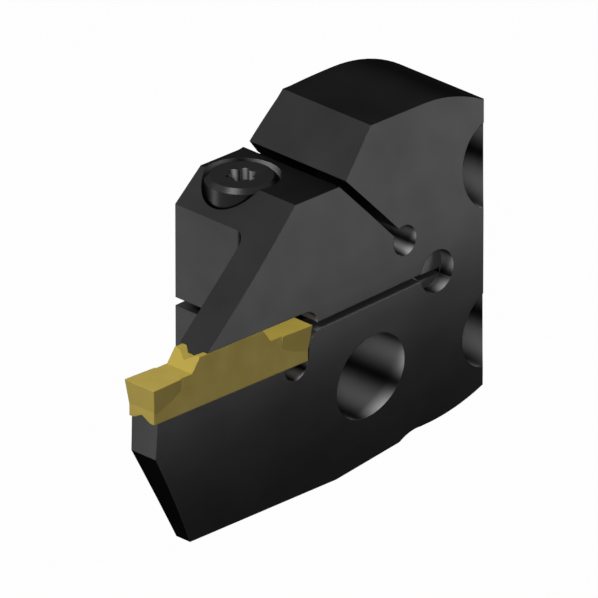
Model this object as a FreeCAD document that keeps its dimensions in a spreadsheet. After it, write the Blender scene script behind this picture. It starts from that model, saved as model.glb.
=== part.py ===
"""Face grooving head: a round coupling, a curved support blade, a clamping finger and a two-ended insert.

Millimetres. The origin is the centre of the coupling on its mating face. X points away from the bar, along
the coupling's axis. The cutting edge lies at -Y, at the height of the coupling's centre, and Z is up.
"""
import FreeCAD, Part
import math
import os
import re
import Sketcher

# Driving dimensions: name, millimetres or degrees, meaning
SIZES = [
    ("coupling_diameter", 40.0, "diameter of the round coupling and of the rim behind it"),
    ("tool_offset", 18.0, "mating face to the outer corner of the insert"),
    ("tool_reach", 45.0, "coupling centre to the cutting edge"),
    ("outer_gap", 0.3, "the outer side of the steel stands back from the insert's corner by this"),
    ("outer_radius", 88.0, "radius of the outer side, so that the blade fits a round groove"),
    ("inner_radius", 280.0, "radius of the blade's inner side"),
    ("blade_thickness", 4.23, "thickness of the blade at the height of the cutting edge"),
    ("blade_setback", 1.0, "cutting edge to the front of the blade"),
    ("blade_land", 9.05, "cutting edge height to the start of the blade's slanted nose"),
    ("blade_slant", 29.8, "angle of the slanted nose from upright, degrees"),
    ("keel_drop", 2.6, "how far the lowest face lies below the rim of the coupling"),
    ("keel_end", 13.1, "where the lowest face ends, in front of the coupling centre"),
    ("rise_end", 3.4, "where the rising face under the coupling ends"),
    ("rise_angle", 9.15, "slope of the rising face, degrees"),
    ("rim_blend", 4.0, "radius of the hollow between the rising face and the rim"),
    ("top_land", 8.3, "length of the flat at the top, in front of the coupling centre"),
    ("nose_angle", 45.0, "slope of the nose above the upper slit, degrees"),
    ("clamp_top", 14.7, "height of the flat that the clamp screw sits in"),
    ("clamp_front", 21.3, "where that flat ends, in front of the coupling centre"),
    ("finger_slope", 40.9, "slope of the clamping finger's top, degrees"),
    ("jaw_front", 25.3, "front of the two thick jaws, which sets how deep a groove can be"),
    ("jaw_side", 1.35, "mating face to the inner side of the jaws"),
    ("finger_root_wall", 12.73, "mating face to the finger's inner wall at the jaw front"),
    ("finger_taper", 3.0, "angle by which the finger's inner wall closes in, degrees"),
    ("root_fillet", 1.6, "fillet between the jaw front and the blade or finger"),
    ("insert_width", 4.67, "width of the cutting edge"),
    ("insert_length", 24.9, "length of the insert"),
    ("insert_depth", 4.4, "cutting edge height to the insert's lowest face"),
    ("insert_rail", 1.65, "cutting edge height to the insert's raised middle"),
    ("rake_length", 6.3, "length of each rake face"),
    ("rail_length", 9.9, "length of the raised middle"),
    ("insert_flank", 0.35, "the insert's sides stand back from its corners by this"),
    ("flank_depth", 3.3, "depth of the relief faces below the cutting edge"),
    ("flank_length", 4.5, "length of the relief faces along the insert"),
    ("flank_taper", 0.19, "how much narrower the edge is where the relief face ends"),
    ("flank_bow", 0.025, "how far the relief faces bulge halfway along"),
    ("front_relief", 0.37, "how far the end of the insert leans back"),
    ("front_relief_depth", 2.9, "depth below the cutting edge over which it leans back"),
    ("rail_width", 2.66, "width of the V grooves in the insert"),
    ("upper_groove", 0.8, "depth of the V groove in the insert's top"),
    ("lower_groove", 0.65, "depth of the V groove in the insert's bottom"),
    ("rail_crest", 0.3, "how much of each V rail's point is taken off, so that only its flanks seat"),
    ("seat_gap", 0.05, "running clearance between the insert and its seat"),
    ("seat_wall", 0.1, "clearance between the insert and the wall of its pocket"),
    ("corner_relief", 1.75, "radius of the two corner holes behind the insert"),
    ("upper_relief_front", 0.45, "the upper corner hole lies in front of the stop by this"),
    ("lower_relief_front", 1.95, "the lower corner hole lies in front of the stop by this"),
    ("relief_drop", 0.15, "both corner holes lie below the pocket's corners by this"),
    ("slit_width", 1.0, "width of the slit between the jaws"),
    ("slit_drop", 0.85, "height of the slit's middle at its mouth, below the cutting edge"),
    ("slit_slope", 1.95, "angle by which the slit rises towards the coupling centre, degrees"),
    ("slit_end", 2.3, "where the wide part of the slit ends, in front of the coupling centre"),
    ("fine_slit", 0.66, "width of the fine end of the slit"),
    ("fine_slit_drop", 1.17, "height of the fine end past the coupling centre, below the cutting edge"),
    ("fine_slit_foot", 0.9, "where the fine end has come down and runs level, in front of the centre"),
    ("centre_recess", 5.2, "diameter of the recess at the coupling centre"),
    ("centre_recess_depth", 1.9, "depth of that recess"),
    ("upper_slit", 1.02, "width of the upper slit"),
    ("upper_slit_angle", 47.0, "slope of the upper slit, degrees"),
    ("relief_front", 5.0, "hole at the end of the upper slit, in front of the coupling centre"),
    ("relief_height", 5.4, "height of that hole above the coupling centre"),
    ("relief_diameter", 3.6, "diameter of that hole"),
    ("bolt_inset", 5.858, "rim of the coupling straight in to the centre of a mounting hole"),
    ("bolt_clearance", 6.6, "diameter of the mounting holes"),
    ("bolt_counterbore", 10.7, "diameter of their counterbores"),
    ("bolt_seat", 6.0, "mating face to the floor of the counterbores"),
    ("back_bevel", 7.4, "where the back bevel starts on the outer side, behind the coupling centre"),
    ("back_bevel_angle", 45.0, "angle of the back bevel, degrees"),
    ("coupling_flat", 16.0, "radius of the flat mating ring"),
    ("coupling_cone", 14.5, "slope of the relief around the mating ring, degrees"),
    ("serration_pitch", 2.0, "distance between the serrations of the mating face"),
    ("serration_width", 0.9, "width of one serration"),
    ("serration_depth", 0.45, "depth of one serration"),
    ("serration_count", 16, "number of serrations"),
    ("screw_across", 6.4, "mating face to the clamp screw's axis"),
    ("screw_front", 19.8, "clamp screw's axis in front of the coupling centre"),
    ("screw_thread", 5.0, "thread diameter of the clamp screw"),
    ("screw_head", 8.45, "diameter of its head"),
    ("screw_head_height", 5.0, "height of its head"),
    ("screw_head_edge", 0.55, "chamfer of the head's edge"),
    ("screw_length", 20.0, "length under the head"),
    ("screw_hole", 5.5, "diameter of the hole in the upper jaw"),
    ("screw_fit", 0.05, "radial clearance of the thread in the lower jaw"),
    ("screw_tip_room", 1.5, "depth of the threaded hole past the screw's tip"),
    ("head_room", 0.3, "radial clearance round the head"),
    ("socket_core", 2.8, "diameter of the six-lobe socket's core"),
    ("socket_lobe", 0.9, "diameter of each lobe"),
    ("socket_circle", 1.38, "radius on which the lobes lie"),
    ("socket_depth", 2.6, "depth of the socket"),
]
NAMES = {name for name, value, note in SIZES}

doc = FreeCAD.newDocument("FaceGroovingHead")
sheet = doc.addObject("Spreadsheet::Sheet", "Sizes")
for row, (name, value, note) in enumerate(SIZES, start=1):
    sheet.set(f"A{row}", note)
    sheet.set(f"B{row}", str(value))
    sheet.setAlias(f"B{row}", name)
doc.recompute()


def bind(text):
    """The text as an expression, with each size's name read from the sheet."""
    return re.sub(r"[a-z_]+", lambda m: "Sizes." + m.group(0) if m.group(0) in NAMES else m.group(0), text)


def new_body(label):
    body = doc.addObject("PartDesign::Body", label)
    body.Label = label
    return body


def new_sketch(body, name, plane, across="0", up="0", out="0"):
    """A sketch on an origin plane of its body, moved across, up and out of that plane."""
    sketch = body.newObject("Sketcher::SketchObject", name)
    sketch.AttachmentSupport = [(next(f for f in body.Origin.OriginFeatures if f.Role == plane), "")]
    sketch.MapMode = "FlatFace"
    for axis, text in (("x", across), ("y", up), ("z", out)):
        sketch.setExpression("AttachmentOffset.Base." + axis, bind(text))
    return sketch


def locate(sketch, item, point, across, up):
    """Holds a point of the sketch's geometry at two distances from the sketch's origin."""
    for kind, text in (("DistanceX", across), ("DistanceY", up)):
        index = sketch.addConstraint(Sketcher.Constraint(kind, -1, 1, item, point, 1.0))
        sketch.setExpression(f"Constraints[{index}]", bind(text))


def add_outline(sketch, corners):
    """A closed outline of straight lines through corners given as pairs of expressions."""
    count = len(corners)
    turn = [2 * math.pi * i / count for i in range(count)]
    rough = [FreeCAD.Vector(math.cos(a), math.sin(a), 0) for a in turn]
    first = len(sketch.Geometry)
    for i in range(count):
        sketch.addGeometry(Part.LineSegment(rough[i], rough[(i + 1) % count]))
    for i, (across, up) in enumerate(corners):
        sketch.addConstraint(Sketcher.Constraint("Coincident", first + i, 2, first + (i + 1) % count, 1))
        locate(sketch, first + i, 1, across, up)


def add_circle(sketch, across, up, radius):
    item = sketch.addGeometry(Part.Circle(FreeCAD.Vector(0, 0, 0), FreeCAD.Vector(0, 0, 1), 1.0))
    locate(sketch, item, 3, across, up)
    index = sketch.addConstraint(Sketcher.Constraint("Radius", item, 1.0))
    sketch.setExpression(f"Constraints[{index}]", bind(radius))


def volume(body):
    return 0.0 if body.Shape.isNull() else body.Shape.Volume


def must_change(body, before, grows, name):
    """Recomputes and makes sure that the newest feature did what it is there for."""
    doc.recompute()
    change = volume(body) - before
    if change * (1 if grows else -1) <= 1e-6:
        raise RuntimeError(name + " changes nothing")


def pad(body, sketch, length, reverse=False):
    before = volume(body)
    feature = body.newObject("PartDesign::Pad", sketch.Name + "Pad")
    feature.Profile = sketch
    feature.Reversed = reverse
    feature.setExpression("Length", bind(length))
    must_change(body, before, True, feature.Name)


def cut(body, sketch, length=None, reverse=False, both=False):
    """A pocket of some length, or through everything on one side or on both sides of the sketch."""
    before = volume(body)
    feature = body.newObject("PartDesign::Pocket", sketch.Name + "Cut")
    feature.Profile = sketch
    feature.Reversed = reverse
    if length:
        feature.setExpression("Length", bind(length))
    else:
        feature.Type = "ThroughAll"
        feature.SideType = "Symmetric" if both else "One side"
    must_change(body, before, False, feature.Name)
    return feature


def fillet(body, name, near, radius):
    """A fillet on the edge of the newest feature that passes nearest to a point."""
    before = volume(body)
    base = body.Tip
    spot = Part.Vertex(*near)
    gaps = [edge.distToShape(spot)[0] for edge in base.Shape.Edges]
    feature = body.newObject("PartDesign::Fillet", name)
    feature.Base = (base, ["Edge%d" % (gaps.index(min(gaps)) + 1)])
    feature.setExpression("Radius", bind(radius))
    must_change(body, before, True, name)


def size(name):
    return float(sheet.get(name))


# Lines that more than one piece shares, as expressions
OUTER_SIDE = "tool_offset - outer_gap"
BLADE_TOP = "insert_depth + seat_gap"
BLADE_WALL = "tool_offset - outer_gap - blade_thickness"
ROOF = "insert_rail + seat_gap"
LEAN_AT_STOP = "front_relief * (corner_relief + relief_drop) / front_relief_depth"
STOP = f"tool_reach - insert_length + {LEAN_AT_STOP} - seat_gap"
INSERT_MIDDLE = "tool_offset - insert_width / 2"
POCKET_WALL = "tool_offset - insert_width - seat_wall"
SLIT_LEVEL = "((jaw_front + root_fillet - slit_end) * tan(slit_slope) - slit_drop)"
HEAD_SEAT = "clamp_top - screw_head_height"
KEEL = "(coupling_diameter / 2 + keel_drop)"
BOLT_OFFSET = "((coupling_diameter / 2 - bolt_inset) * cos(45 deg))"
WELL_OUTSIDE = f"tool_reach + {KEEL}"


def v_rail(name, start, run, level, height):
    """A V rail along Y that stands on a level, with its point taken off."""
    crest = f"(rail_width / 2 * rail_crest / abs({height}))"
    top = f"{level} + ({height}) * (1 - rail_crest / abs({height}))"
    rail = new_sketch(holder, name, "XZ_Plane", across=INSERT_MIDDLE, out=start)
    add_outline(rail, [
        ("-rail_width / 2", f"{level} - ({height}) / 2"),
        ("-rail_width / 2", level),
        (f"-{crest}", top),
        (crest, top),
        ("rail_width / 2", level),
        ("rail_width / 2", f"{level} - ({height}) / 2"),
    ])
    pad(holder, rail, run, reverse=True)


# The head: coupling disc, lower jaw and blade
holder = new_body("holder_body")

disc = new_sketch(holder, "Disc", "YZ_Plane")
add_circle(disc, "0", "0", "coupling_diameter / 2")
pad(holder, disc, OUTER_SIDE)

nose_run = f"({KEEL} - blade_land) * tan(blade_slant)"
rise = "(keel_end - rise_end) * tan(rise_angle)"
lower_jaw = new_sketch(holder, "LowerJaw", "YZ_Plane")
add_outline(lower_jaw, [
    ("blade_setback - tool_reach", f"-({BLADE_TOP})"),
    ("blade_setback - tool_reach", "-blade_land"),
    (f"blade_setback - tool_reach + {nose_run}", f"-{KEEL}"),
    ("-keel_end", f"-{KEEL}"),
    ("-rise_end", f"{rise} - {KEEL}"),
    ("0", "-coupling_diameter / 2"),
    ("0", "-slit_drop"),
    ("-jaw_front", "-slit_drop"),
    ("-jaw_front", f"-({BLADE_TOP})"),
])
pad(holder, lower_jaw, OUTER_SIDE)

# The hollow that runs from the rising face into the rim, tangent to the rim
rise_reach = f"sqrt(rise_end ^ 2 + ({KEEL} - {rise}) ^ 2)"
blend_reach = "(coupling_diameter / 2 + rim_blend)"
blend_turn = (
    f"(atan(rise_end / ({KEEL} - {rise}))"
    f" - acos(({blend_reach} ^ 2 + {rise_reach} ^ 2 - rim_blend ^ 2) / (2 * {blend_reach} * {rise_reach})))"
)
hollow = new_sketch(holder, "Hollow", "YZ_Plane")
add_circle(hollow, f"-{blend_reach} * sin({blend_turn})", f"-{blend_reach} * cos({blend_turn})", "rim_blend")
cut(holder, hollow, both=True)

# The blade's inner side, curved about an axis along Y
blade_side = new_sketch(holder, "BladeSide", "XZ_Plane", out="jaw_front")
add_circle(blade_side, f"{BLADE_WALL} - inner_radius", "0", "inner_radius")
cut(holder, blade_side, reverse=True)
root_depth = (size("coupling_diameter") / 2 + size("keel_drop") + size("insert_depth")) / 2
root_wall = size("tool_offset") - size("outer_gap") - size("blade_thickness")
root_wall -= root_depth ** 2 / (2 * size("inner_radius"))
fillet(holder, "BladeRoot", (root_wall, -size("jaw_front"), -root_depth), "root_fillet")

# The upper jaw with the nose, the flat of the clamp screw and the finger
upper_jaw = new_sketch(holder, "UpperJaw", "YZ_Plane")
nose_foot = "top_land + (coupling_diameter / 2 - clamp_top) / tan(nose_angle)"
add_outline(upper_jaw, [
    ("0", "-slit_drop"),
    ("0", "coupling_diameter / 2"),
    ("-top_land", "coupling_diameter / 2"),
    (f"-({nose_foot})", "clamp_top"),
    ("-clamp_front", "clamp_top"),
    (f"-clamp_front - (clamp_top - ({ROOF})) / tan(finger_slope)", ROOF),
    ("-jaw_front", ROOF),
    ("-jaw_front", "-slit_drop"),
])
pad(holder, upper_jaw, OUTER_SIDE)

# The finger's inner wall, which closes in towards its tip
finger_reach = "(tool_reach - jaw_front)"
finger_side = new_sketch(holder, "FingerSide", "XY_Plane", out="-slit_drop")
add_outline(finger_side, [
    ("-tool_offset", "-jaw_front"),
    ("finger_root_wall", "-jaw_front"),
    (f"finger_root_wall + {finger_reach} * tan(finger_taper)", "-tool_reach"),
    ("-tool_offset", "-tool_reach"),
])
cut(holder, finger_side, reverse=True)
finger_middle = (size("insert_rail") + size("clamp_top")) / 3
fillet(holder, "FingerRoot", (size("finger_root_wall"), -size("jaw_front"), finger_middle), "root_fillet")

# The pocket of the insert's rear half, open to the outer side, with its stop
pocket = new_sketch(holder, "Pocket", "YZ_Plane", out=POCKET_WALL)
add_outline(pocket, [
    ("-jaw_front - root_fillet", f"-({BLADE_TOP})"),
    (f"-({STOP})", f"-({BLADE_TOP})"),
    (f"-({STOP})", ROOF),
    ("-jaw_front - root_fillet", ROOF),
])
cut(holder, pocket, reverse=True)

# The V rails that hold the insert: one on the blade, one under the finger, trimmed along its slope
blade_run = f"tool_reach - blade_setback - ({STOP})"
v_rail("SeatRail", "tool_reach - blade_setback", blade_run, f"-({BLADE_TOP})", "lower_groove")
v_rail("FingerRail", "tool_reach", "rake_length + rail_length", ROOF, "-upper_groove")
finger_tip = new_sketch(holder, "FingerTip", "YZ_Plane")
slope_foot = "-clamp_front - clamp_top / tan(finger_slope)"
add_outline(finger_tip, [
    ("-clamp_front", "clamp_top"),
    (slope_foot, "0"),
    (f"-({WELL_OUTSIDE})", "0"),
    (f"-({WELL_OUTSIDE})", "clamp_top"),
])
cut(holder, finger_tip, both=True)

# The outer side, curved about an axis along Y so that the blade follows a round groove
outer_side = new_sketch(holder, "OuterSide", "XZ_Plane")
outer_centre = f"{OUTER_SIDE} - outer_radius"
outer_frame = f"(outer_radius + {WELL_OUTSIDE})"
add_circle(outer_side, outer_centre, "0", "outer_radius")
add_outline(outer_side, [
    (f"{outer_centre} - {outer_frame}", f"-{outer_frame}"),
    (f"{outer_centre} + {outer_frame}", f"-{outer_frame}"),
    (f"{outer_centre} + {outer_frame}", outer_frame),
    (f"{outer_centre} - {outer_frame}", outer_frame),
])
cut(holder, outer_side, both=True)

# The two holes in the corners behind the insert
corner_holes = new_sketch(holder, "CornerHoles", "YZ_Plane", out=POCKET_WALL)
add_circle(corner_holes, f"-({STOP}) - upper_relief_front", "-relief_drop", "corner_relief")
add_circle(corner_holes, f"-({STOP}) - lower_relief_front", f"-({BLADE_TOP}) - relief_drop", "corner_relief")
cut(holder, corner_holes, reverse=True)

# The slit between the jaws: a wide part up to the centre recess, then a fine end that crosses its floor
slit = new_sketch(holder, "Slit", "YZ_Plane")
add_outline(slit, [
    ("-jaw_front - root_fillet", "slit_width / 2 - slit_drop"),
    ("-jaw_front - root_fillet", "-slit_width / 2 - slit_drop"),
    ("-slit_end", f"{SLIT_LEVEL} - slit_width / 2"),
    ("-slit_end", f"{SLIT_LEVEL} + slit_width / 2"),
])
cut(holder, slit, both=True)
fine_slit = new_sketch(holder, "FineSlit", "YZ_Plane")
half_turn = f"(atan(({SLIT_LEVEL} + fine_slit_drop) / (slit_end - fine_slit_foot)) / 2)"
mitre = f"fine_slit / 2 * tan{half_turn}"
fine_end = "centre_recess / 2 - fine_slit / 2"
add_outline(fine_slit, [
    ("-slit_end - fine_slit", f"{SLIT_LEVEL} - fine_slit / 2"),
    (f"-slit_end - {mitre}", f"{SLIT_LEVEL} - fine_slit / 2"),
    (f"-fine_slit_foot - {mitre}", "-fine_slit_drop - fine_slit / 2"),
    (fine_end, "-fine_slit_drop - fine_slit / 2"),
    (fine_end, "fine_slit / 2 - fine_slit_drop"),
    (f"{mitre} - fine_slit_foot", "fine_slit / 2 - fine_slit_drop"),
    (f"{mitre} - slit_end", f"{SLIT_LEVEL} + fine_slit / 2"),
    ("-slit_end - fine_slit", f"{SLIT_LEVEL} + fine_slit / 2"),
])
cut(holder, fine_slit, both=True)
centre_recess = new_sketch(holder, "CentreRecess", "YZ_Plane", out=f"{OUTER_SIDE} - centre_recess_depth")
add_circle(centre_recess, "0", "0", "centre_recess / 2")
cut(holder, centre_recess, reverse=True)

# The upper slit, which frees the upper jaw from the nose, and the hole where it ends
slit_run = "coupling_diameter / 2"
slit_lean = "upper_slit / 2 * sin(upper_slit_angle)"
slit_rise = "upper_slit / 2 * cos(upper_slit_angle)"
far_front = f"-relief_front - {slit_run} * cos(upper_slit_angle)"
far_up = f"relief_height + {slit_run} * sin(upper_slit_angle)"
upper_slit = new_sketch(holder, "UpperSlit", "YZ_Plane")
add_outline(upper_slit, [
    (f"-relief_front + {slit_lean}", f"relief_height + {slit_rise}"),
    (f"-relief_front - {slit_lean}", f"relief_height - {slit_rise}"),
    (f"{far_front} - {slit_lean}", f"{far_up} - {slit_rise}"),
    (f"{far_front} + {slit_lean}", f"{far_up} + {slit_rise}"),
])
cut(holder, upper_slit, both=True)
slit_hole = new_sketch(holder, "SlitHole", "YZ_Plane")
add_circle(slit_hole, "-relief_front", "relief_height", "relief_diameter / 2")
cut(holder, slit_hole, both=True)

# The bevel at the back
back_bevel = new_sketch(holder, "BackBevel", "XY_Plane")
add_outline(back_bevel, [
    (OUTER_SIDE, "back_bevel"),
    (f"{OUTER_SIDE} - coupling_diameter * tan(back_bevel_angle)", "back_bevel + coupling_diameter"),
    (OUTER_SIDE, "back_bevel + coupling_diameter"),
])
cut(holder, back_bevel, both=True)

# Three counterbored mounting holes on the corners of a square; the clamp takes the place of a fourth
BOLT_PLACES = [
    (f"-{BOLT_OFFSET}", f"-{BOLT_OFFSET}"),
    (BOLT_OFFSET, BOLT_OFFSET),
    (BOLT_OFFSET, f"-{BOLT_OFFSET}"),
]
bolt_holes = new_sketch(holder, "BoltHoles", "YZ_Plane")
bolt_seats = new_sketch(holder, "BoltSeats", "YZ_Plane", out="bolt_seat")
for across, up in BOLT_PLACES:
    add_circle(bolt_holes, across, up, "bolt_clearance / 2")
    add_circle(bolt_seats, across, up, "bolt_counterbore / 2")
cut(holder, bolt_holes, both=True)
cut(holder, bolt_seats, reverse=True)

# The clamp screw's counterbore, clearance hole and threaded hole
screw_at = {"across": "screw_across", "up": "-screw_front"}
head_bore = new_sketch(holder, "HeadBore", "XY_Plane", out=HEAD_SEAT, **screw_at)
add_circle(head_bore, "0", "0", "screw_head / 2 + head_room")
cut(holder, head_bore, reverse=True)
screw_bore = new_sketch(holder, "ScrewBore", "XY_Plane", out="-slit_drop", **screw_at)
add_circle(screw_bore, "0", "0", "screw_hole / 2")
cut(holder, screw_bore, reverse=True)
thread_bore = new_sketch(holder, "ThreadBore", "XY_Plane", out="-slit_drop", **screw_at)
add_circle(thread_bore, "0", "0", "screw_thread / 2 + screw_fit")
cut(holder, thread_bore, f"screw_length - ({HEAD_SEAT}) - slit_drop + screw_tip_room")

# The mating side: a flat ring, a relief cone round it, and the jaws' inner side set back
mating_side = new_sketch(holder, "MatingSide", "XZ_Plane")
add_outline(mating_side, [
    ("0", "coupling_flat"),
    ("jaw_side", "coupling_flat + jaw_side / tan(coupling_cone)"),
    ("jaw_side", WELL_OUTSIDE),
    ("-tool_offset", WELL_OUTSIDE),
    ("-tool_offset", "coupling_flat"),
])
solid_before = volume(holder)
relief = holder.newObject("PartDesign::Groove", "MatingRelief")
relief.Profile = mating_side
relief.ReferenceAxis = (mating_side, ["H_Axis"])
relief.Angle = 360
must_change(holder, solid_before, False, "MatingRelief")

# The serrations that lock the head on the bar
serration = new_sketch(holder, "Serration", "XY_Plane", up="-serration_pitch * (serration_count - 1) / 2")
add_outline(serration, [
    ("-serration_depth", "-serration_width / 2"),
    ("0", "-serration_width / 2"),
    ("serration_depth", "0"),
    ("0", "serration_width / 2"),
    ("-serration_depth", "serration_width / 2"),
])
first_serration = cut(holder, serration, both=True)
solid_before = volume(holder)
serrations = holder.newObject("PartDesign::LinearPattern", "Serrations")
serrations.Originals = [first_serration]
serrations.Direction = (serration, ["V_Axis"])
serrations.setExpression("Length", bind("serration_pitch * (serration_count - 1)"))
serrations.setExpression("Occurrences", bind("serration_count"))
holder.Tip = serrations
must_change(holder, solid_before, False, "Serrations")


# The insert, drawn from the side, with its relief faces and V grooves
insert = new_body("cutting_insert")
front = "-tool_reach"
back = "insert_length - tool_reach"
ramp = "(insert_length - rail_length) / 2 - rake_length"
blank = new_sketch(insert, "Blank", "YZ_Plane", out="tool_offset - insert_width + insert_flank")
add_outline(blank, [
    (front, "0"),
    (front, "-insert_depth"),
    (back, "-insert_depth"),
    (back, "0"),
    (f"{back} - rake_length", "0"),
    (f"{back} - rake_length - ({ramp})", "insert_rail"),
    (f"{front} + rake_length + ({ramp})", "insert_rail"),
    (f"{front} + rake_length", "0"),
])
pad(insert, blank, "insert_width - 2 * insert_flank")


def cutting_end(name, edge, inward):
    """The wider head at one end: its flanks close in downwards and away from the cutting edge."""
    stations = [
        (edge, "0"),
        (f"{edge} {inward} flank_length / 2", "(flank_taper / 2 - flank_bow)"),
        (f"{edge} {inward} flank_length", "flank_taper"),
    ]
    sections = []
    for number, (at, narrower) in enumerate(stations):
        title = f"{name}Section{number}"
        section = new_sketch(insert, title, "XZ_Plane", across=INSERT_MIDDLE, out=f"-({at})")
        top_half = f"(insert_width / 2 - {narrower})"
        low_half = f"(insert_width / 2 - {narrower} - insert_flank)"
        add_outline(section, [
            (f"-{top_half}", "0"),
            (f"-{low_half}", "-flank_depth"),
            (low_half, "-flank_depth"),
            (top_half, "0"),
        ])
        sections.append(section)
    before = volume(insert)
    loft = insert.newObject("PartDesign::AdditiveLoft", name)
    loft.Profile = sections[0]
    loft.Sections = sections[1:]
    must_change(insert, before, True, name)


cutting_end("FrontEnd", front, "+")
cutting_end("BackEnd", back, "-")

for name, edge, inward in (("FrontRelief", front, "+"), ("BackRelief", back, "-")):
    end_relief = new_sketch(insert, name, "YZ_Plane")
    outward = "-" if inward == "+" else "+"
    add_outline(end_relief, [
        (edge, "0"),
        (f"{edge} {inward} front_relief", "-front_relief_depth"),
        (f"{edge} {inward} front_relief", "-2 * insert_depth"),
        (f"{edge} {outward} insert_depth", "-2 * insert_depth"),
        (f"{edge} {outward} insert_depth", "0"),
    ])
    cut(insert, end_relief, both=True)

GROOVES = [("TopGroove", "insert_rail", "-upper_groove"), ("FootGroove", "-insert_depth", "lower_groove")]
for name, level, depth in GROOVES:
    groove = new_sketch(insert, name, "XZ_Plane", across=INSERT_MIDDLE)
    add_outline(groove, [
        ("-rail_width / 2", f"{level} - ({depth})"),
        ("-rail_width / 2", level),
        ("0", f"{level} + ({depth})"),
        ("rail_width / 2", level),
        ("rail_width / 2", f"{level} - ({depth})"),
    ])
    cut(insert, groove, both=True)


# The clamp screw, turned round its own axis, with a six-lobe socket
screw = new_body("clamp_screw")
screw_shape = new_sketch(screw, "ScrewShape", "XZ_Plane", across="screw_across", out="screw_front")
tip = f"({HEAD_SEAT} - screw_length)"
add_outline(screw_shape, [
    ("0", tip),
    ("screw_thread / 2 - screw_head_edge", tip),
    ("screw_thread / 2", f"{tip} + screw_head_edge"),
    ("screw_thread / 2", HEAD_SEAT),
    ("screw_head / 2", HEAD_SEAT),
    ("screw_head / 2", "clamp_top - screw_head_edge"),
    ("screw_head / 2 - screw_head_edge", "clamp_top"),
    ("0", "clamp_top"),
])
turned = screw.newObject("PartDesign::Revolution", "Turned")
turned.Profile = screw_shape
turned.ReferenceAxis = (screw_shape, ["V_Axis"])
turned.Angle = 360
doc.recompute()
socket_core = new_sketch(screw, "SocketCore", "XY_Plane", out="clamp_top", **screw_at)
add_circle(socket_core, "0", "0", "socket_core / 2")
cut(screw, socket_core, "socket_depth")
socket_lobe = new_sketch(screw, "SocketLobe", "XY_Plane", out="clamp_top", **screw_at)
add_circle(socket_lobe, "socket_circle", "0", "socket_lobe / 2")
first_lobe = cut(screw, socket_lobe, "socket_depth")
solid_before = volume(screw)
lobes = screw.newObject("PartDesign::PolarPattern", "Lobes")
lobes.Originals = [first_lobe]
lobes.Axis = (socket_lobe, ["N_Axis"])
lobes.Angle = 360
lobes.Occurrences = 6
screw.Tip = lobes
must_change(screw, solid_before, False, "Lobes")


# Nothing is written unless every feature and every piece is sound
doc.recompute()
for item in doc.Objects:
    if "Invalid" in item.State or "Error" in item.State:
        raise RuntimeError(item.Name + " has failed")
os.makedirs("parts", exist_ok=True)
for body in (holder, insert, screw):
    if body.Shape.isNull() or not body.Shape.isValid() or len(body.Shape.Solids) != 1:
        raise RuntimeError(body.Label + " is not one sound solid")
for body in (holder, insert, screw):
    body.Shape.exportStep(f"parts/{body.Label}.step")
    print(body.Label, round(body.Shape.Volume, 1), "cubic millimetres,", len(body.Shape.Faces), "faces")
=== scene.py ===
# %% [markdown]
# # A face grooving head
# A lathe tool head that cuts ring-shaped grooves in the face of a workpiece. It has three pieces: a blackened
# steel body with a curved support blade, a clamp screw, and a gold-coated insert with two cutting ends. The
# CAD model gives every shape. This file gives the finishes, the light and the camera.

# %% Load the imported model
import math

import bpy
from mathutils import Matrix, Vector


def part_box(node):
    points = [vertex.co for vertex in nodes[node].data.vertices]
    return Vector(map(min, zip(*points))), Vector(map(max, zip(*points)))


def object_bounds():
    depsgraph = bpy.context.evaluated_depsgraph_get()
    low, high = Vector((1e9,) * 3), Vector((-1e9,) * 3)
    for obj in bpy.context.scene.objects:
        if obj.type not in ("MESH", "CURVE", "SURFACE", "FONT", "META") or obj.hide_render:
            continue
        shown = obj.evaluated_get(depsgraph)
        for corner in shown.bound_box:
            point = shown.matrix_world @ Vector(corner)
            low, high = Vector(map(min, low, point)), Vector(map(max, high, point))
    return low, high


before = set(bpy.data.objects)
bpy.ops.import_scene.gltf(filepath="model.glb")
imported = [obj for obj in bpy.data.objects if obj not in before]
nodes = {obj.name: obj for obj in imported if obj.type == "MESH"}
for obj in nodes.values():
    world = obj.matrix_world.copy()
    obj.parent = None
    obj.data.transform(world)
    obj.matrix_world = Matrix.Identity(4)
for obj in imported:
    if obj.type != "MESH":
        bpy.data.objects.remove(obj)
cad_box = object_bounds()
scene = bpy.context.scene
scene.view_settings.view_transform = "Standard"
for name in sorted(nodes):
    low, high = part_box(name)
    print(name, "measures", [round((high[i] - low[i]) * 1000, 1) for i in range(3)], "mm")

# %% [markdown]
# ## Which way the camera looks
# The picture is a nearly parallel view from the front right, 25 degrees above the level. The two angles could
# be typed into the camera's rotation. As three directions they also serve the next step, where the camera is
# moved along its own right and up.

# %% Turn the angles into directions
AZIMUTH = math.radians(45.2)
ELEVATION = math.radians(24.94)

looking = Vector((
    -math.cos(ELEVATION) * math.sin(AZIMUTH),
    math.cos(ELEVATION) * math.cos(AZIMUTH),
    -math.sin(ELEVATION),
))
rightward = Vector((math.cos(AZIMUTH), math.sin(AZIMUTH), 0.0))
upward = rightward.cross(looking)
print("the camera looks along", [round(value, 3) for value in looking])

# %% [markdown]
# ## Where the camera stands
# An orthographic camera would give a parallel view too. A lens of very long focal length from far away gives
# almost the same, and it keeps a real camera with a real distance. It is set from one point that is easy to
# find on the object: the outer corner of the cutting edge, at the box's limits in X and Y and at height 0.

# %% Place the camera
FRAME_PIXELS = 598
FOCAL_PIXELS = 20500.0
PIXELS_PER_METRE = 8984.0
SENSOR_WIDTH = 36.0
CORNER_PIXEL = (154.0, 391.9)

corner = Vector((cad_box[1][0], cad_box[0][1], 0.0))
distance = FOCAL_PIXELS / PIXELS_PER_METRE
pixel_size = distance / FOCAL_PIXELS
across = (CORNER_PIXEL[0] - FRAME_PIXELS / 2) * pixel_size
down = (CORNER_PIXEL[1] - FRAME_PIXELS / 2) * pixel_size

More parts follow.
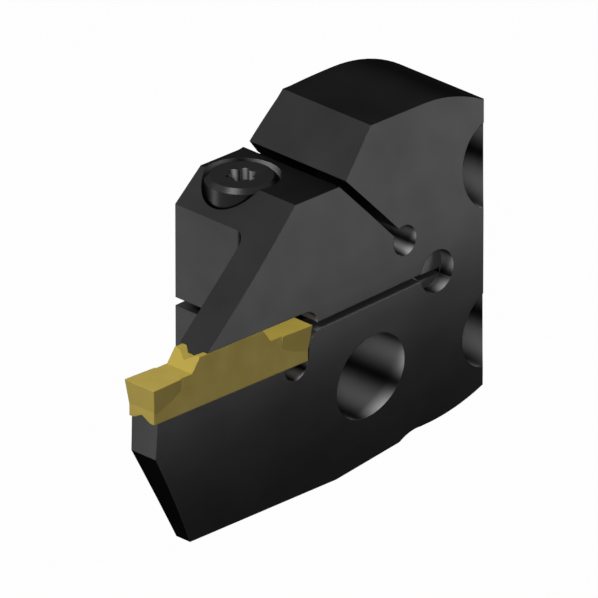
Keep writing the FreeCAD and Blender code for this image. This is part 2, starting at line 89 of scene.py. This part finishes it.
camera_data = bpy.data.cameras.new("long_lens")
camera_data.sensor_width = SENSOR_WIDTH
camera_data.lens = SENSOR_WIDTH * FOCAL_PIXELS / FRAME_PIXELS
camera = bpy.data.objects.new("camera", camera_data)
scene.collection.objects.link(camera)
turn = Matrix((rightward, upward, -looking)).transposed().to_4x4()
stand = corner - rightward * across + upward * down - looking * distance
camera.matrix_world = Matrix.Translation(stand) @ turn
scene.camera = camera
print("camera", round(distance, 3), "m away")

# %% [markdown]
# ## Nodes in one line
# A material is a net of nodes, and most of the typing goes into their sockets. One helper gives a socket a
# plain value or another node's output, whichever it gets. The other makes a maths node with all its values.

# %% Make short ways to set up nodes
def feed(tree, socket, value):
    """Gives a socket a plain value, or links another node's output to it."""
    if isinstance(value, bpy.types.NodeSocket):
        tree.links.new(value, socket)
    else:
        socket.default_value = value


def math_node(tree, operation, *values, clamp=False):
    """A maths node whose values are numbers or other nodes' outputs. It gives back its output."""
    node = tree.nodes.new("ShaderNodeMath")
    node.operation = operation
    node.use_clamp = clamp
    for socket, value in zip(node.inputs, values):
        feed(tree, socket, value)
    return node.outputs[0]


# %% [markdown]
# ## A white room that gives little light
# The background is plain white. A world of full white would also light the metal from every side and wash out
# its shape. The Light Path node tells the two uses apart, because it says which kind of ray is asking: the
# camera and clear reflections get one look, and the light that falls on the object comes from the other.

# %% Tell the look of a surface from its light
def seen_directly(tree):
    """A mask that is 1 for camera, glossy and transmission rays."""
    path = tree.nodes.new("ShaderNodeLightPath")
    total = path.outputs["Is Camera Ray"]
    for kind in ("Is Glossy Ray", "Is Transmission Ray"):
        total = math_node(tree, "ADD", total, path.outputs[kind], clamp=True)
    return total


def light_and_look(tree, light, look, output, share=1.0):
    """Joins the shader that gives light with the one that is seen. The share is how much of it is seen."""
    mix = tree.nodes.new("ShaderNodeMixShader")
    out = tree.nodes.new(output)
    feed(tree, mix.inputs[0], math_node(tree, "MULTIPLY", seen_directly(tree), share))
    feed(tree, mix.inputs[1], light.outputs[0])
    feed(tree, mix.inputs[2], look.outputs[0])
    feed(tree, out.inputs["Surface"], mix.outputs[0])


# %% [markdown]
# ## The world
# The world is one even colour all around, without an image of a room: the picture shows none. Its light fills
# what the lamps leave dark, and it is kept low so that the black steel stays black.

# %% Build the world
WORLD_GREY = 0.8
WORLD_LIGHT = 0.09


def grey(level):
    """A neutral colour of one level."""
    return (level, level, level, 1.0)


world = bpy.data.worlds.new("white_studio")
scene.world = world
world.use_nodes = True
tree = world.node_tree
tree.nodes.clear()
light = tree.nodes.new("ShaderNodeBackground")
light.inputs["Color"].default_value = grey(WORLD_GREY)
light.inputs["Strength"].default_value = WORLD_LIGHT
look = tree.nodes.new("ShaderNodeBackground")
look.inputs["Color"].default_value = grey(1.0)
look.inputs["Strength"].default_value = 1.0
light_and_look(tree, light, look, "ShaderNodeOutputWorld")
print("world", world.name, "lights with a strength of", WORLD_LIGHT)

# %% [markdown]
# ## The floor
# The head hangs on its bar in use, so the floor lies well below it. It is a large sheet of paper with the
# same two looks as the world. The small share that isn't glow keeps the paper's own shading, and with it a
# trace of the soft shadow.

# %% Lay the floor
FLOOR_DROP = 0.75
FLOOR_WIDTH = 12.0
PAPER_GREY = 0.4
PAPER_GLOW_SHARE = 0.985
SHEET_CORNERS = ((-1, -1), (1, -1), (1, 1), (-1, 1))


def flat_sheet(name, width, height, material):
    """A rectangle about its own centre that faces up, of one material."""
    mesh = bpy.data.meshes.new(name)
    corners = [(x * width / 2, y * height / 2, 0.0) for x, y in SHEET_CORNERS]
    mesh.from_pydata(corners, [], [(0, 1, 2, 3)])
    mesh.materials.append(material)
    sheet = bpy.data.objects.new(name, mesh)
    scene.collection.objects.link(sheet)
    return sheet


paper = bpy.data.materials.new("white_paper")
paper.use_nodes = True
tree = paper.node_tree
tree.nodes.clear()
light = tree.nodes.new("ShaderNodeBsdfDiffuse")
light.inputs["Color"].default_value = grey(PAPER_GREY)
look = tree.nodes.new("ShaderNodeEmission")
look.inputs["Strength"].default_value = 1.0
light_and_look(tree, light, look, "ShaderNodeOutputMaterial", PAPER_GLOW_SHARE)

floor = flat_sheet("floor", FLOOR_WIDTH, FLOOR_WIDTH, paper)
floor.location.z = cad_box[0][2] - FLOOR_DROP
print("floor at", round(floor.location.z, 3), "m")

# %% [markdown]
# ## Soft boxes
# Black steel shows little but its reflections, so the lamps are large and soft, as for any dark metal. The
# strong one hangs overhead, in front, and a weak one stands beside the camera. Three more are only mirrored,
# and give matt surfaces no light. The one at the low right is tall, and its reflection fades down the curved
# outer side. A sun lamp would be simpler, but its reflection is a small hard spot.

# %% Set the soft boxes
LIGHT_REACH = 1.3


def soft_box(name, toward, size, watts, lights=True):
    """A rectangular lamp in one direction from the object, facing it. Without lights it is only mirrored."""
    data = bpy.data.lights.new(name, "AREA")
    data.shape = "RECTANGLE"
    data.size, data.size_y = size
    data.energy = watts
    lamp = bpy.data.objects.new(name, data)
    direction = Vector(toward).normalized()
    lamp.location = direction * LIGHT_REACH
    lamp.rotation_euler = direction.to_track_quat("Z", "Y").to_euler()
    lamp.visible_camera = False
    lamp.visible_diffuse = lights
    scene.collection.objects.link(lamp)
    print("lamp", name, watts, "W")
    return lamp


overhead_front = soft_box("overhead_front", toward=(0.10, -0.60, 0.80), size=(0.5, 0.5), watts=15.2)
insert_fill = soft_box("insert_fill", toward=(0.09, -0.64, 0.77), size=(0.5, 0.5), watts=16.2)
soft_box("beside_camera", toward=(0.70, -0.60, 0.38), size=(0.4, 0.4), watts=1.8)
soft_box("low_right", toward=(0.755, 0.64, -0.235), size=(0.32, 0.76), watts=4.4, lights=False)
soft_box("low_left", toward=(-0.65, -0.645, -0.39), size=(0.45, 0.45), watts=2.7, lights=False)
soft_box("high_left", toward=(-0.643, -0.422, 0.639), size=(0.5, 0.5), watts=1.1, lights=False)

# %% [markdown]
# ## Light for the insert alone
# The picture has no shadows: the insert's far end is as bright under the finger as its free end. With one
# lamp for everything it would lie in shadow. So insert_fill hangs close to the overhead lamp, lights the
# insert alone and casts no shadow, and the overhead lamp leaves the insert out. Light linking does the
# choosing: a lamp gets a collection of receivers, and what is in it is either all that the lamp lights or
# what it skips.

# %% Link the two lamps
for lamp, state in ((overhead_front, "EXCLUDE"), (insert_fill, "INCLUDE")):
    receivers = bpy.data.collections.new(lamp.name + "_receivers")
    receivers.objects.link(nodes["cutting_insert"])
    receivers.collection_objects[0].light_linking.link_state = state
    lamp.light_linking.receiver_collection = receivers
    print("lamp", lamp.name, state.lower() + "s", "the insert")
insert_fill.data.use_shadow = False

# %% [markdown]
# ## Dark cards
# A photographer who takes dark metal in a white room hangs dark cards outside the picture. The metal mirrors
# them in place of the white room, so its far sides stay dark and its shape reads. Here one card hangs at the
# low right, for the lower half of the curved outer side, and two at the left, for the sides that are seen at
# a flat angle. They take part in reflections alone, and leave the light and the shadows as they are.

# %% Hang the dark cards
LEFT_CARD_LEVEL = 0.02
TO_THE_RIGHT = (1.0, 0.0, 0.0)


def dark_card(name, centre, facing, size, level):
    """A sheet of one dim grey that only reflections show."""
    dim = bpy.data.materials.new(name)
    dim.use_nodes = True
    tree = dim.node_tree
    tree.nodes.clear()
    glow = tree.nodes.new("ShaderNodeEmission")
    glow.inputs["Strength"].default_value = level
    out = tree.nodes.new("ShaderNodeOutputMaterial")
    tree.links.new(glow.outputs[0], out.inputs["Surface"])
    card = flat_sheet(name, *size, dim)
    card.location = centre
    card.rotation_euler = Vector(facing).to_track_quat("Z", "Y").to_euler()
    for kind in ("camera", "diffuse", "transmission", "volume_scatter", "shadow"):
        setattr(card, "visible_" + kind, False)
    print("card", name, "of level", level)


dark_card(
    "card_low_right",
    centre=(0.209, 0.363, -0.358), facing=(-0.38, -0.66, 0.65), size=(0.36, 0.33), level=0.45,
)
dark_card(
    "card_back_left",
    centre=(-0.35, 0.62, -0.18), facing=TO_THE_RIGHT, size=(0.84, 0.64), level=LEFT_CARD_LEVEL,
)
dark_card(
    "card_below_left",
    centre=(-0.34, 0.12, -0.475), facing=TO_THE_RIGHT, size=(0.64, 0.51), level=LEFT_CARD_LEVEL,
)

# %% [markdown]
# ## Effects that finishes share
# Wear, tool marks, film and the places that get painted light are each built once, as a node group, and
# placed in a finish with values of its own. Numbers go into a group, and a mask, a value or a normal that
# changes over the surface comes out. The shader itself stays in each material.

# %% Make groups and noise
NUMBER = "NodeSocketFloat"
DIRECTION = "NodeSocketVector"


def new_group(name, inputs, outputs):
    """A node group with number inputs and the named outputs, with its own sockets to read and to fill."""
    group = bpy.data.node_groups.new(name, "ShaderNodeTree")
    for label, value in inputs.items():
        socket = group.interface.new_socket(label, in_out="INPUT", socket_type=NUMBER)
        socket.default_value = value
    for label, kind in outputs.items():
        group.interface.new_socket(label, in_out="OUTPUT", socket_type=kind)
    given = group.nodes.new("NodeGroupInput").outputs
    result = group.nodes.new("NodeGroupOutput").inputs
    print("group", name, "puts out", ", ".join(outputs))
    return group, given, result


def noise(tree, scale, detail, where=None, roughness=0.5):
    """Cloudy noise at a point of the piece's own frame, or at the point that is given."""
    if where is None:
        where = tree.nodes.new("ShaderNodeTexCoord").outputs["Object"]
    node = tree.nodes.new("ShaderNodeTexNoise")
    values = {"Vector": where, "Scale": scale, "Detail": detail, "Roughness": roughness}
    for label, value in values.items():
        feed(tree, node.inputs[label], value)
    return node.outputs["Fac"]


# %% [markdown]
# ### Edge wear
# Handled corners lose a little of their skin. A wear map could be painted by hand, but a node can find the
# corners: Bevel gives a normal that is rounded near edges, and where it leaves the flat normal there is an
# edge. Noise breaks the line up, as handling does. The rounded normal goes out too, because no machined edge
# is perfectly sharp.

# %% Build the edge wear
BEVEL_SAMPLES = 6
BEND_GAIN = 6.0
CHIP_DETAIL = 3.0
CHIP_CONTRAST = 1.6
CHIP_OFFSET = -0.2

edge_wear, given, result = new_group(
    "edge_wear",
    {"Width": 0.0002, "Breakup": 1500.0, "Amount": 1.0},
    {"Mask": NUMBER, "Rounded Normal": DIRECTION},
)
bevel = edge_wear.nodes.new("ShaderNodeBevel")
bevel.samples = BEVEL_SAMPLES
geometry = edge_wear.nodes.new("ShaderNodeNewGeometry")
compare = edge_wear.nodes.new("ShaderNodeVectorMath")
compare.operation = "DOT_PRODUCT"
feed(edge_wear, bevel.inputs["Radius"], given["Width"])
feed(edge_wear, compare.inputs[0], bevel.outputs["Normal"])
feed(edge_wear, compare.inputs[1], geometry.outputs["Normal"])
bend = math_node(edge_wear, "SUBTRACT", 1.0, compare.outputs["Value"], clamp=True)
bend = math_node(edge_wear, "MULTIPLY", bend, BEND_GAIN, clamp=True)
chips = noise(edge_wear, given["Breakup"], CHIP_DETAIL)
uneven = math_node(edge_wear, "MULTIPLY_ADD", chips, CHIP_CONTRAST, CHIP_OFFSET, clamp=True)
worn = math_node(edge_wear, "MULTIPLY", bend, uneven)
worn = math_node(edge_wear, "MULTIPLY", worn, given["Amount"], clamp=True)
feed(edge_wear, result["Mask"], worn)
feed(edge_wear, result["Rounded Normal"], bevel.outputs["Normal"])

# %% [markdown]
# ### Tool marks
# A mill or a grinding wheel leaves fine lines that run one way across a face. Noise that is squeezed in one
# direction and stretched in another gives such lines, at any number to the metre. A wave texture would be
# simpler, but its lines are too even.

# %% Build the tool marks
MARK_TILT = math.radians(35)
MARK_STRETCH = (0.6, 0.04, 1.0)
MARK_DETAIL = 4.0

tool_marks, given, result = new_group(
    "tool_marks", {"Lines Per Metre": 3000.0, "Unevenness": 0.5}, {"Height": NUMBER}
)
place = tool_marks.nodes.new("ShaderNodeTexCoord")
squeeze = tool_marks.nodes.new("ShaderNodeMapping")
squeeze.inputs["Rotation"].default_value = (MARK_TILT, 0.0, 0.0)
squeeze.inputs["Scale"].default_value = MARK_STRETCH
feed(tool_marks, squeeze.inputs["Vector"], place.outputs["Object"])
squeezed = squeeze.outputs["Vector"]
lines = noise(tool_marks, given["Lines Per Metre"], MARK_DETAIL, squeezed, given["Unevenness"])
feed(tool_marks, result["Height"], lines)

# %% [markdown]
# ### Film
# Oil and coatings are never quite even. Film is a cloudy value between a low and a high end, which each
# finish sets, for a colour or for roughness. Map Range spreads the middle of the noise over the whole range.

# %% Build the film
FILM_DETAIL = 5.0
NOISE_LOW = 0.3
NOISE_HIGH = 0.7

film, given, result = new_group(
    "film", {"Patch Scale": 90.0, "Low": 0.4, "High": 0.5}, {"Value": NUMBER}
)
spread = film.nodes.new("ShaderNodeMapRange")
feed(film, spread.inputs["Value"], noise(film, given["Patch Scale"], FILM_DETAIL))
feed(film, spread.inputs["From Min"], NOISE_LOW)
feed(film, spread.inputs["From Max"], NOISE_HIGH)
feed(film, spread.inputs["To Min"], given["Low"])
feed(film, spread.inputs["To Max"], given["High"])
feed(film, result["Value"], spread.outputs["Result"])

# %% [markdown]
# ## Finding the places of painted light
# In the picture the bores are brighter than the black outside, with bands that run along them, and so is the
# slit, without bands. Black steel mirrors too little of a plain room for that, so here the bands are painted
# into the colour: painted reflections on the bore walls, and painted light on the slit walls, the recess
# floor and the screw's socket and seat, where shade falls. These surfaces could get a material slot of their
# own, with their faces picked by hand. A formula is shorter, and the mesh stays as it came: each group below
# takes the place and the size of one cut, and masks its surface.

# %% Test where a point of the surface lies
WALL_TOLERANCE = 0.00006
PAINTED_LIGHT_OUTPUTS = {"Mask": NUMBER, "Streaks": NUMBER}


def xyz(group, kind):
    """The X, Y and Z of the surface's place (Object) or of its direction (Normal), in the piece's frame."""
    source = group.nodes.new("ShaderNodeTexCoord")
    split = group.nodes.new("ShaderNodeSeparateXYZ")
    feed(group, split.inputs[0], source.outputs[kind])
    return split.outputs


def absolute(group, value):
    """The value without its sign."""
    return math_node(group, "ABSOLUTE", value)


def reach(group, aside, above):
    """The distance from an axis, from the two offsets across it."""
    squares = [math_node(group, "MULTIPLY", offset, offset) for offset in (aside, above)]
    return math_node(group, "SQRT", math_node(group, "ADD", *squares))


def all_of(group, tests):
    """A mask that is 1 only where every test is."""
    mask = tests[0]
    for test in tests[1:]:
        mask = math_node(group, "MULTIPLY", mask, test)
    return mask


# %% [markdown]
# ### Walls of bores
# A point is on the wall of a bore when its distance from the axis is the radius and it faces across the axis.
# The angle around the axis then gives painted bands of reflection, as a wave that goes a few times around.
# One function makes the group for bores along X, such as the mounting holes, and the one for bores along Z,
# such as the screw's.

# %% Build the bore walls
FACES_ACROSS = 0.5
BORE_INPUTS = {
    "Across": 0.0, "Up": 0.0, "Radius": 0.005, "From": -1.0, "Tolerance": WALL_TOLERANCE,
    "Around": 5.0, "Turn": 0.7, "Shine": 0.92,
}


def bore_group(name, along, across, up):
    """A group that finds the wall of a round bore along one axis, and paints bands of reflection along it."""
    group, given, result = new_group(name, BORE_INPUTS, PAINTED_LIGHT_OUTPUTS)
    place = xyz(group, "Object")
    facing = xyz(group, "Normal")
    aside = math_node(group, "SUBTRACT", place[across], given["Across"])
    above = math_node(group, "SUBTRACT", place[up], given["Up"])
    off_wall = math_node(group, "SUBTRACT", reach(group, aside, above), given["Radius"])
    mask = all_of(group, [
        math_node(group, "LESS_THAN", absolute(group, off_wall), given["Tolerance"]),
        math_node(group, "LESS_THAN", absolute(group, facing[along]), FACES_ACROSS),
        math_node(group, "GREATER_THAN", place[along], given["From"]),
    ])
    angle = math_node(group, "ARCTAN2", above, aside)
    turned = math_node(group, "MULTIPLY", angle, given["Around"])
    turned = math_node(group, "SUBTRACT", turned, given["Turn"])
    # Painted reflection: the wave gives bright and dark bands that run along the bore wall.
    wave = math_node(group, "MULTIPLY_ADD", math_node(group, "COSINE", turned), 0.5, 0.5)
    wave = math_node(group, "MULTIPLY", wave, given["Shine"])
    feed(group, result["Mask"], mask)
    feed(group, result["Streaks"], math_node(group, "MULTIPLY", mask, wave))
    return group


bored_across = bore_group("bored_across", "X", "Y", "Z")
bored_down = bore_group("bored_down", "Z", "X", "Y")

# %% [markdown]
# ### Walls of the slit
# The long slit behind the insert is a thin flat gap that rises a little along Y. Its walls are the faces that
# look up or down and lie within half the gap's width of its middle, between a front and a back end. They get
# an even painted light, where the gap lies in shade, so the second output is the mask times one brightness.

# %% Build the slit walls
FACES_UP_OR_DOWN = 0.9
SLIT_INPUTS = {
    "Rise": 0.0, "Level": 0.0, "Half Width": 0.0005, "Front": -0.027, "Back": -0.002,
    "From": 0.0, "To": 0.02, "Shine": 0.21,
}

slit_wall, given, result = new_group("slit_wall", SLIT_INPUTS, PAINTED_LIGHT_OUTPUTS)
place = xyz(slit_wall, "Object")
facing = xyz(slit_wall, "Normal")
middle = math_node(slit_wall, "MULTIPLY_ADD", place["Y"], given["Rise"], given["Level"])
off_middle = math_node(slit_wall, "SUBTRACT", place["Z"], middle)
half_gap = math_node(slit_wall, "ADD", given["Half Width"], WALL_TOLERANCE)
tests = [
    math_node(slit_wall, "LESS_THAN", absolute(slit_wall, off_middle), half_gap),
    math_node(slit_wall, "GREATER_THAN", absolute(slit_wall, facing["Z"]), FACES_UP_OR_DOWN),
]
for axis, first, last in (("Y", "Front", "Back"), ("X", "From", "To")):
    tests.append(math_node(slit_wall, "GREATER_THAN", place[axis], given[first]))
    tests.append(math_node(slit_wall, "LESS_THAN", place[axis], given[last]))
mask = all_of(slit_wall, tests)
feed(slit_wall, result["Mask"], mask)
# Painted light: the slit walls get one even brightness where the gap is in shade.
feed(slit_wall, result["Streaks"], math_node(slit_wall, "MULTIPLY", mask, given["Shine"]))

# %% [markdown]
# ### The floor of the recess
# The round recess in the side has a flat floor. A point belongs to it when it lies at the floor's level and
# within its radius. It gets an even painted light too, where the recess lies in shade.

# %% Build the sunk floor
sunk_floor, given, result = new_group(
    "sunk_floor", {"Depth": 0.0, "Radius": 0.003, "Shine": 0.45}, PAINTED_LIGHT_OUTPUTS
)
place = xyz(sunk_floor, "Object")
off_floor = math_node(sunk_floor, "SUBTRACT", place["X"], given["Depth"])
mask = all_of(sunk_floor, [
    math_node(sunk_floor, "LESS_THAN", absolute(sunk_floor, off_floor), WALL_TOLERANCE),
    math_node(sunk_floor, "LESS_THAN", reach(sunk_floor, place["Y"], place["Z"]), given["Radius"]),
])
feed(sunk_floor, result["Mask"], mask)
# Painted light: the recess floor gets one even brightness where it is in shade.
feed(sunk_floor, result["Streaks"], math_node(sunk_floor, "MULTIPLY", mask, given["Shine"]))

# %% [markdown]
# ## Parts of a finish
# All three finishes start from the Principled shader and end in a fine relief, so these steps are written
# once. The relief is a Bump node, because the marks are a hundredth or two of a millimetre deep, too fine for
# the mesh. It lies on top of the rounded normal from the edge wear.

# %% Make what every finish needs
SURFACE_MIRROR = 0.1


def new_finish(name):
    """A new material, with its node tree and its shader. Its clear surface mirrors little."""
    material = bpy.data.materials.new(name)
    material.use_nodes = True
    tree = material.node_tree
    shader = tree.nodes["Principled BSDF"]
    shader.inputs["Specular IOR Level"].default_value = SURFACE_MIRROR
    return material, tree, shader


def place_group(tree, group, **values):
    """The group as a node of a finish, with its inputs set by name. It gives back its outputs."""
    node = tree.nodes.new("ShaderNodeGroup")
    node.node_tree = group
    for label, value in values.items():
        node.inputs[label.replace("_", " ")].default_value = value
    return node.outputs


def mix_colours(tree, mask, first, second):
    """Blends from one colour to another by a mask."""
    node = tree.nodes.new("ShaderNodeMix")
    node.data_type = "RGBA"
    sockets = {socket.identifier: socket for socket in node.inputs}
    feed(tree, sockets["Factor_Float"], mask)
    feed(tree, sockets["A_Color"], first)
    feed(tree, sockets["B_Color"], second)
    return {socket.identifier: socket for socket in node.outputs}["Result_Color"]


def add_relief(tree, shader, height, normal, strength, depth):
    """Presses a height pattern into the shading, on top of a normal."""
    bump = tree.nodes.new("ShaderNodeBump")
    bump.inputs["Strength"].default_value = strength
    bump.inputs["Distance"].default_value = depth
    feed(tree, bump.inputs["Height"], height)
    feed(tree, bump.inputs["Normal"], normal)
    feed(tree, shader.inputs["Normal"], bump.outputs["Normal"])


# %% [markdown]
# ## Blackened steel
# The body is milled steel with a black oxide finish. It is a thin dark skin on metal, so it shines like metal
# but gives back very little light. Where corners are handled, the skin thins and a lighter grey shows. Black
# paint would be made without metal, and would lose the dim, clear reflections. At the places of painted light
# the shader is mostly non-metallic and a little rougher, so that the lamps light them, and painted bands
# blend the colour from dark to bright.
# One recipe serves the body and the screw.

# %% Make the recipe for blackened steel
WEAR_WIDTH = 0.00008
WEAR_AMOUNT = 0.25
SKIN_PATCHES = 140.0
SKIN_DARKER = 0.8
SHEEN_PATCHES = 60.0
MARK_STRENGTH = 0.2
MARK_DEPTH = 0.00002
# The two ends of the painted light: near black, and the bright end of painted bands and of light painted into
# shade.
PAINTED_BAND_DARK = grey(0.015)
PAINTED_BAND_BRIGHT = grey(0.74)
PAINTED_PLACE_MATTE = 0.85
PAINTED_PLACE_ROUGHER = 0.1


def painted_light_places(tree, places):
    """Joins the masks and the painted light of every place that gets it."""
    masks, painted_light = 0.0, 0.0
    for group, values in places:
        spot = place_group(tree, group, **values)
        masks = math_node(tree, "MAXIMUM", spot["Mask"], masks)
        painted_light = math_node(tree, "MAXIMUM", spot["Streaks"], painted_light)
    return masks, painted_light


def blackened_steel(name, black, worn, tint, sheen, lines_per_metre, places):
    """Steel under a thin black skin, worn at the edges, with painted light and painted bands at the given
    places.
    """
    material, tree, shader = new_finish(name)
    shader.inputs["Specular Tint"].default_value = tint
    wear = place_group(tree, edge_wear, Width=WEAR_WIDTH, Amount=WEAR_AMOUNT)
    patches = place_group(tree, film, Patch_Scale=SKIN_PATCHES, Low=0.0, High=1.0)
    deeper = (*(SKIN_DARKER * value for value in black[:3]), 1.0)
    skin = mix_colours(tree, patches["Value"], deeper, black)
    colour = mix_colours(tree, wear["Mask"], skin, worn)
    masks, painted_light = painted_light_places(tree, places)
    # Painted light: the masked places turn dark, then brighter by the painted bands and even fills.
    colour = mix_colours(tree, masks, colour, PAINTED_BAND_DARK)
    colour = mix_colours(tree, painted_light, colour, PAINTED_BAND_BRIGHT)
    feed(tree, shader.inputs["Base Color"], colour)
    matte = math_node(tree, "MULTIPLY", masks, PAINTED_PLACE_MATTE)
    feed(tree, shader.inputs["Metallic"], math_node(tree, "SUBTRACT", 1.0, matte))
    haze = place_group(tree, film, Patch_Scale=SHEEN_PATCHES, Low=sheen[0], High=sheen[1])
    rough = math_node(tree, "MULTIPLY_ADD", masks, PAINTED_PLACE_ROUGHER, haze["Value"])
    feed(tree, shader.inputs["Roughness"], rough)
    marks = place_group(tree, tool_marks, Lines_Per_Metre=lines_per_metre)
    add_relief(tree, shader, marks["Height"], wear["Rounded Normal"], MARK_STRENGTH, MARK_DEPTH)
    print("finish", name, "has", len(places), "places of painted light")
    return material


# %% [markdown]
# ## The body's steel
# The places of painted light are those of the CAD model, in metres: three counterbored mounting holes on the
# corners of a square, the hole that ends the upper slit, the recess at the centre, the two corner holes of
# the insert's pocket, and the counterbore of the clamp screw. The wide part of the long slit is painted
# bright near the curved outer side and left dark further in, as in the picture. Its fine end shows inside the
# recess, and the recess floor gets painted light too.

# %% List the bare places of the body
HOLE_OFFSET = 0.010
HOLE_RADIUS = 0.0033
SEAT_RADIUS = 0.00535
SEAT_FLOOR = 0.0055
POCKET_HOLE = {"Radius": 0.00175, "From": 0.010, "Shine": 0.6}
SCREW_AXIS = {"Across": 0.0064, "Up": -0.0198}
WIDE_SLIT = {"Rise": 0.034, "Level": 0.000065}
WIDE_SLIT_BRIGHT_FROM = 0.0145
FINE_SLIT = {"Level": -0.00117, "Half_Width": 0.00033, "Front": -0.0027, "Back": 0.0027, "From": 0.012}
RECESS_WALL_FROM = 0.010
SCREW_SEAT = {"Radius": 0.004525, "From": 0.009, "Around": 4.0, "Turn": 0.14, "Shine": 0.36}

# Each entry is a place of painted light: bore walls with painted bands, slit walls and the recess floor.
body_painted_light = []
for across, up in ((-1, -1), (1, 1), (1, -1)):
    hole = {"Across": across * HOLE_OFFSET, "Up": up * HOLE_OFFSET}
    body_painted_light.append((bored_across, {**hole, "Radius": SEAT_RADIUS, "From": SEAT_FLOOR}))
    body_painted_light.append((bored_across, {**hole, "Radius": HOLE_RADIUS}))
body_painted_light += [
    (bored_across, {"Across": -0.005, "Up": 0.0054, "Radius": 0.0018, "Shine": 0.6}),
    (bored_across, {"Across": 0.0, "Up": 0.0, "Radius": 0.0026, "From": RECESS_WALL_FROM, "Shine": 0.55}),
    (bored_across, {"Across": -0.0207, "Up": -0.00015, **POCKET_HOLE}),
    (bored_across, {"Across": -0.0222, "Up": -0.0046, **POCKET_HOLE}),
    (bored_down, {**SCREW_AXIS, **SCREW_SEAT}),
    # Painted light on the wide slit near the outer side; further in it stays dark.
    (slit_wall, {**WIDE_SLIT, "From": WIDE_SLIT_BRIGHT_FROM}),
    (slit_wall, {**WIDE_SLIT, "To": WIDE_SLIT_BRIGHT_FROM, "Shine": 0.0}),
    (slit_wall, FINE_SLIT),
    (sunk_floor, {"Depth": 0.0158, "Radius": 0.0027, "Shine": 0.17}),
]

# %% Make the body's steel
body_steel = blackened_steel(
    "blackened_steel",
    black=(0.0200, 0.0200, 0.0202, 1.0),
    worn=grey(0.05),
    tint=grey(0.445),
    sheen=(0.28, 0.33),
    lines_per_metre=2500.0,
    places=body_painted_light,
)

# %% [markdown]
# ## The screw's steel
# The screw went through the same bath, with finer marks and a lighter skin. Only its socket gets painted
# light, with painted bands of reflection where its deep walls lie in shade. It has six lobes, so the
# tolerance of its one painted place spans the whole star, and the bands go round more often.

# %% Make the screw's steel
# Painted light and painted bands on the walls of the screw's socket, which lie in shade.
socket_painted_light = {
    **SCREW_AXIS,
    "Radius": 0.0012, "From": 0.0115, "Tolerance": 0.0011, "Around": 9.0, "Turn": 1.0, "Shine": 0.42,
}
screw_steel = blackened_steel(
    "blackened_screw",
    black=(0.024, 0.024, 0.0245, 1.0),
    worn=grey(0.10),
    tint=grey(0.5),
    sheen=(0.28, 0.34),
    lines_per_metre=5000.0,
    places=[(bored_down, socket_painted_light)],
)

# %% [markdown]
# ## Gold-coated carbide
# The insert is pressed and sintered carbide with a gold-coloured nitride coating. Polished gold would be
# fully metallic, and would mirror the white room. The sintered grain under this coating scatters the light,
# and the picture shows even, matt gold, so the finish is almost without metal. It has a fine grain, cloudy
# patches of a deeper gold, and a paler line where the edges are honed.

# %% Make the coated carbide
GOLD = (0.445, 0.34, 0.064, 1.0)
GOLD_DEEP = (0.405, 0.305, 0.054, 1.0)
GOLD_EDGE = (0.58, 0.46, 0.14, 1.0)
GOLD_METAL = 0.04
GRAIN_SCALE = 9000.0
GRAIN_DETAIL = 4.0
GRAIN_STRENGTH = 0.25
GRAIN_DEPTH = 0.00001

coating, tree, shader = new_finish("gold_coating")
shader.inputs["Metallic"].default_value = GOLD_METAL
clouds = place_group(tree, film, Patch_Scale=300.0, Low=0.0, High=1.0)
wear = place_group(tree, edge_wear, Width=0.00016, Amount=0.12)
gold = mix_colours(tree, clouds["Value"], GOLD_DEEP, GOLD)
feed(tree, shader.inputs["Base Color"], mix_colours(tree, wear["Mask"], gold, GOLD_EDGE))
sheen = place_group(tree, film, Patch_Scale=400.0, Low=0.42, High=0.52)
feed(tree, shader.inputs["Roughness"], sheen["Value"])
grain = noise(tree, GRAIN_SCALE, GRAIN_DETAIL)
add_relief(tree, shader, grain, wear["Rounded Normal"], GRAIN_STRENGTH, GRAIN_DEPTH)
print("finish", coating.name, "is", GOLD_METAL, "metallic")

# %% [markdown]
# ## The finishes go on
# On the real head the body and the screw come out of the same blackening bath, and the insert comes from a
# coating oven. Each is one piece of one finish, so each node takes one material, and its shape stays as the
# CAD made it.

# %% Give each piece its finish
finishes = {"holder_body": body_steel, "clamp_screw": screw_steel, "cutting_insert": coating}
for node, material in finishes.items():
    mesh = nodes[node].data
    mesh.materials.clear()
    mesh.materials.append(material)
    print(node, "has", material.name)
